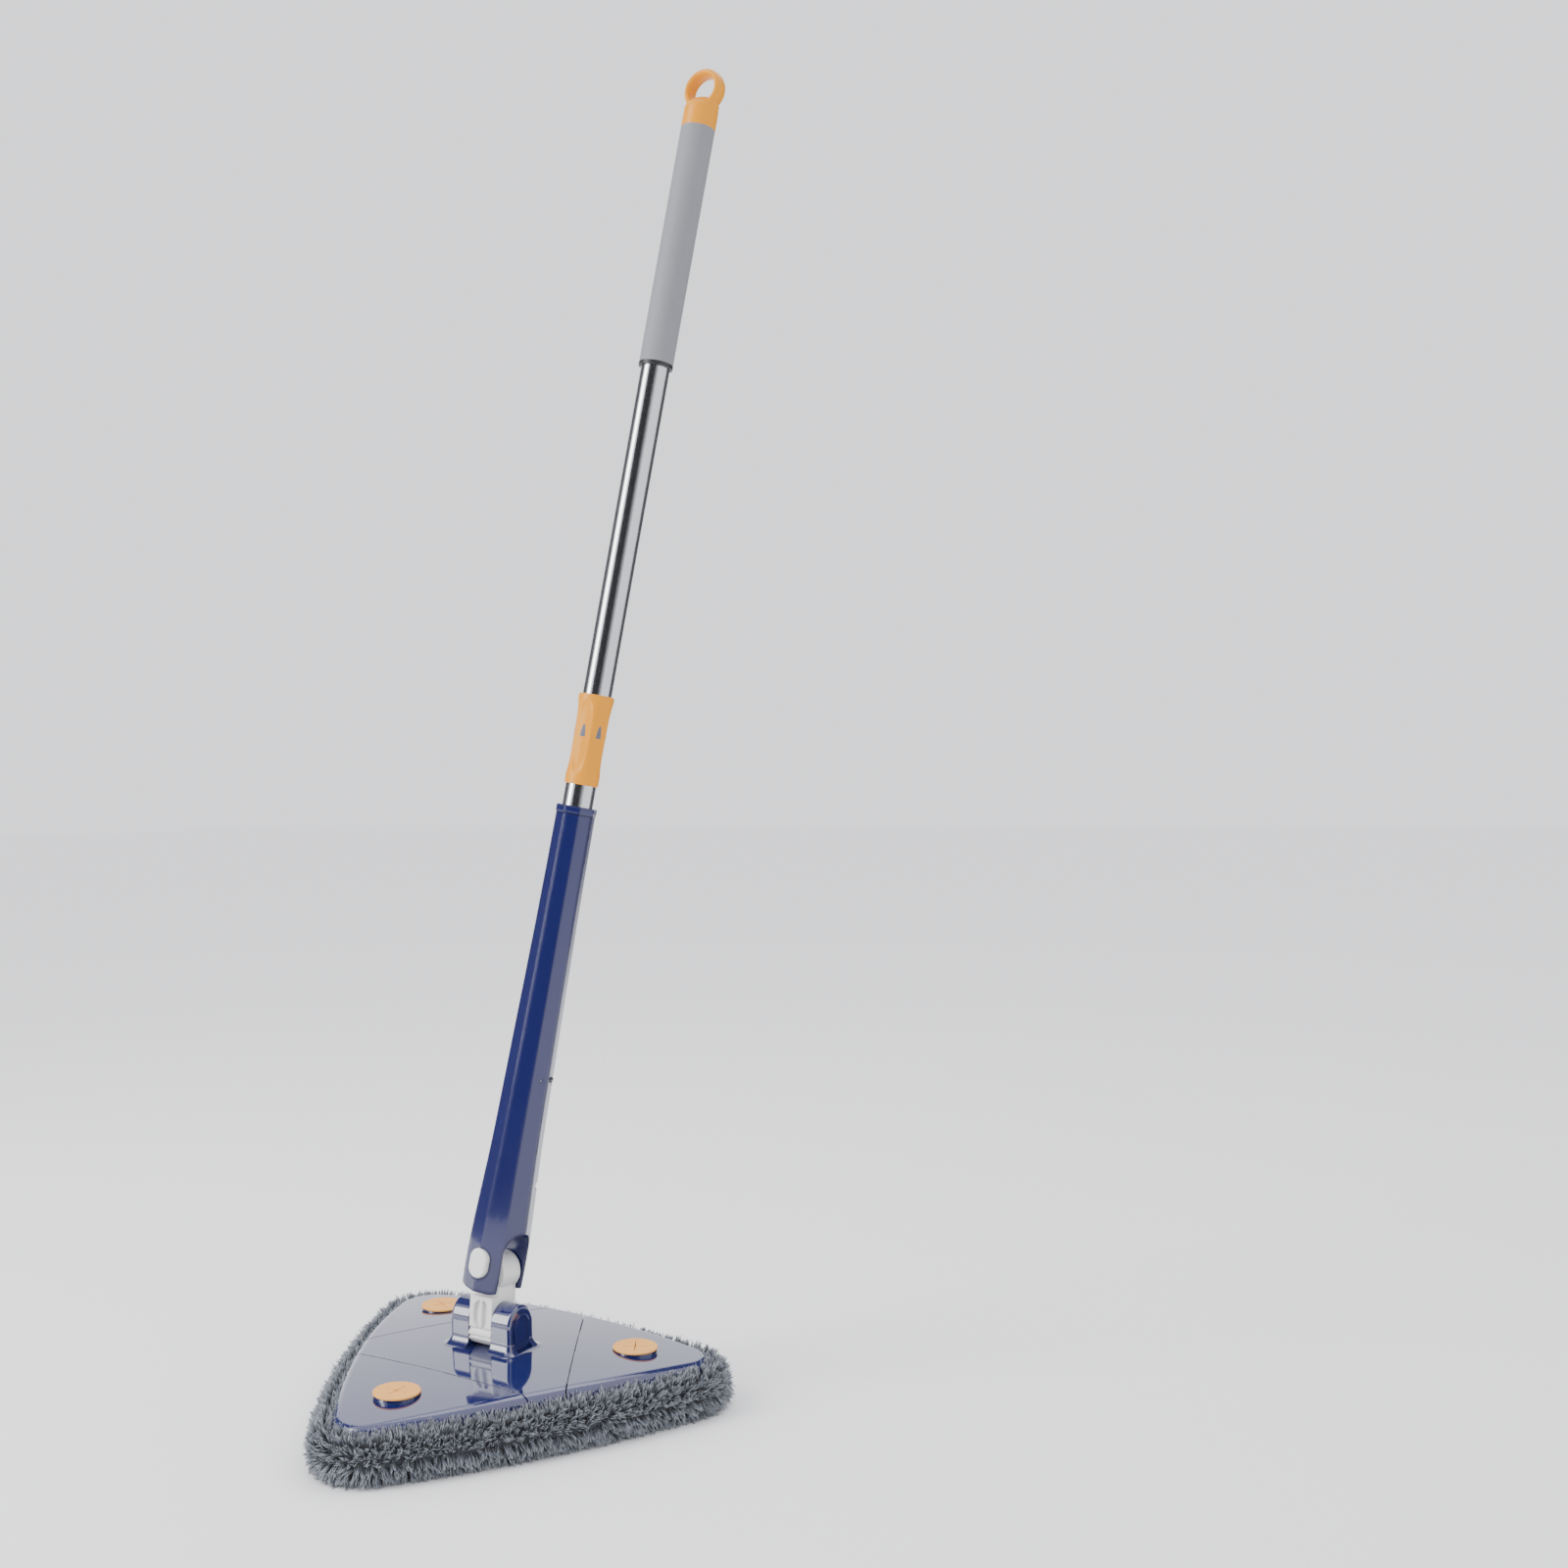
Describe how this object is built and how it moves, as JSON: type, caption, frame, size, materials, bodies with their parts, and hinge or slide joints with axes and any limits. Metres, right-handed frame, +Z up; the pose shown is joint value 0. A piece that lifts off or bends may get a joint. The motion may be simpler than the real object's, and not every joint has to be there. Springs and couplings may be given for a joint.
{
  "type": "triangular floor mop",
  "caption": "Floor and wall mop with a deep-pile triangular pad, folding corner plates, a two-pin universal joint and a telescopic steel pole with a hanging ring.",
  "frame": {"origin": "on the floor under the middle of the triangular head", "axes": "+Z up; -Y towards the front corner and the button; X along the ear pin"},
  "size_m": [0.351, 0.3256, 1.0831],
  "materials": {
    "navy_plastic": "moulded, high gloss",
    "white_plastic": "moulded, satin",
    "inner_plastic": "moulded, satin",
    "hook_strip": "woven hook tape",
    "clip_rubber": "soft, matte",
    "yellow_plastic": "moulded, satin gloss",
    "grip_grey": "moulded, matte",
    "grip_rim": "moulded, satin",
    "tube_steel": "stainless, polished along its length",
    "pin_steel": "zinc plated",
    "pad_pile": "deep microfibre pile"
  },
  "bodies": {
    "head": {"centre_plate": "navy_plastic", "ear_pin": "pin_steel", "ear_caps": "navy_plastic", "centre_underplate": "inner_plastic", "centre_screws": "pin_steel", "centre_hooks": "hook_strip", "pad_centre": "pad_pile", "hinge_pin_front": "pin_steel", "hinge_pin_right": "pin_steel", "hinge_pin_left": "pin_steel"},
    "corner_front": {"flap_front": "navy_plastic", "underplate_front": "inner_plastic", "screws_front": "pin_steel", "hooks_front": "hook_strip", "clip_front": "clip_rubber", "retainer_front": "inner_plastic", "pad_front": "pad_pile"},
    "corner_right": {"flap_right": "navy_plastic", "underplate_right": "inner_plastic", "screws_right": "pin_steel", "hooks_right": "hook_strip", "clip_right": "clip_rubber", "retainer_right": "inner_plastic", "pad_right": "pad_pile"},
    "corner_left": {"flap_left": "navy_plastic", "underplate_left": "inner_plastic", "screws_left": "pin_steel", "hooks_left": "hook_strip", "clip_left": "clip_rubber", "retainer_left": "inner_plastic", "pad_left": "pad_pile"},
    "link": {"joint_link": "white_plastic"},
    "housing": {"housing_front": "navy_plastic", "housing_back": "navy_plastic", "top_cap": "navy_plastic", "housing_screws": "pin_steel", "tube_bearing": "inner_plastic", "joint_bracket": "white_plastic", "upper_pin": "pin_steel", "button_spring": "pin_steel"},
    "button": {"lock_button": "white_plastic"},
    "pole": {"lower_tube": "tube_steel", "tube_plug": "inner_plastic", "collet": "inner_plastic"},
    "collar": {"twist_collar": "yellow_plastic"},
    "upper_pole": {"upper_tube": "tube_steel", "guide_bush": "inner_plastic", "grip_end_ring": "grip_rim", "grip_sleeve": "grip_grey", "hanger_cap": "yellow_plastic"}
  },
  "joints": [
    {"name": "fold_front", "type": "hinge", "parent": "head", "child": "corner_front", "pos_m": [0, -0.0685, 0.0335], "axis": [1, 0, 0], "range_deg": [0, 40]},
    {"name": "fold_right", "type": "hinge", "parent": "head", "child": "corner_right", "pos_m": [0.05932, 0.03425, 0.0335], "axis": [-0.5, 0.866, 0], "range_deg": [0, 40]},
    {"name": "fold_left", "type": "hinge", "parent": "head", "child": "corner_left", "pos_m": [-0.05932, 0.03425, 0.0335], "axis": [-0.5, -0.866, 0], "range_deg": [0, 40]},
    {"name": "head_pitch", "type": "hinge", "parent": "head", "child": "link", "pos_m": [0, 0, 0.0665], "axis": [1, 0, 0], "range_deg": [-63, 76]},
    {"name": "pole_roll", "type": "hinge", "parent": "link", "child": "housing", "pos_m": [0, 0.00417, 0.10427], "axis": [0, 0.994, -0.1097], "range_deg": [-84, 66]},
    {"name": "button_press", "type": "slide", "parent": "housing", "child": "button", "axis": [0, 0.994, -0.1097], "range_m": [0, 0.0021], "stiffness_N_per_m": 400, "springref_m": -0.001, "deforming": ["button_spring"]},
    {"name": "wring_twist", "type": "hinge", "parent": "housing", "child": "pole", "pos_m": [0.02534, 0.02173, 0.26331], "axis": [0.1564, 0.1084, 0.9817], "continuous": true},
    {"name": "collar_turn", "type": "hinge", "parent": "pole", "child": "collar", "pos_m": [0.06914, 0.05208, 0.53819], "axis": [0.1564, 0.1084, 0.9817], "range_deg": [0, 120]},
    {"name": "telescope", "type": "slide", "parent": "pole", "child": "upper_pole", "axis": [0.1564, 0.1084, 0.9817], "range_m": [-0.215, 0.1]}
  ]
}
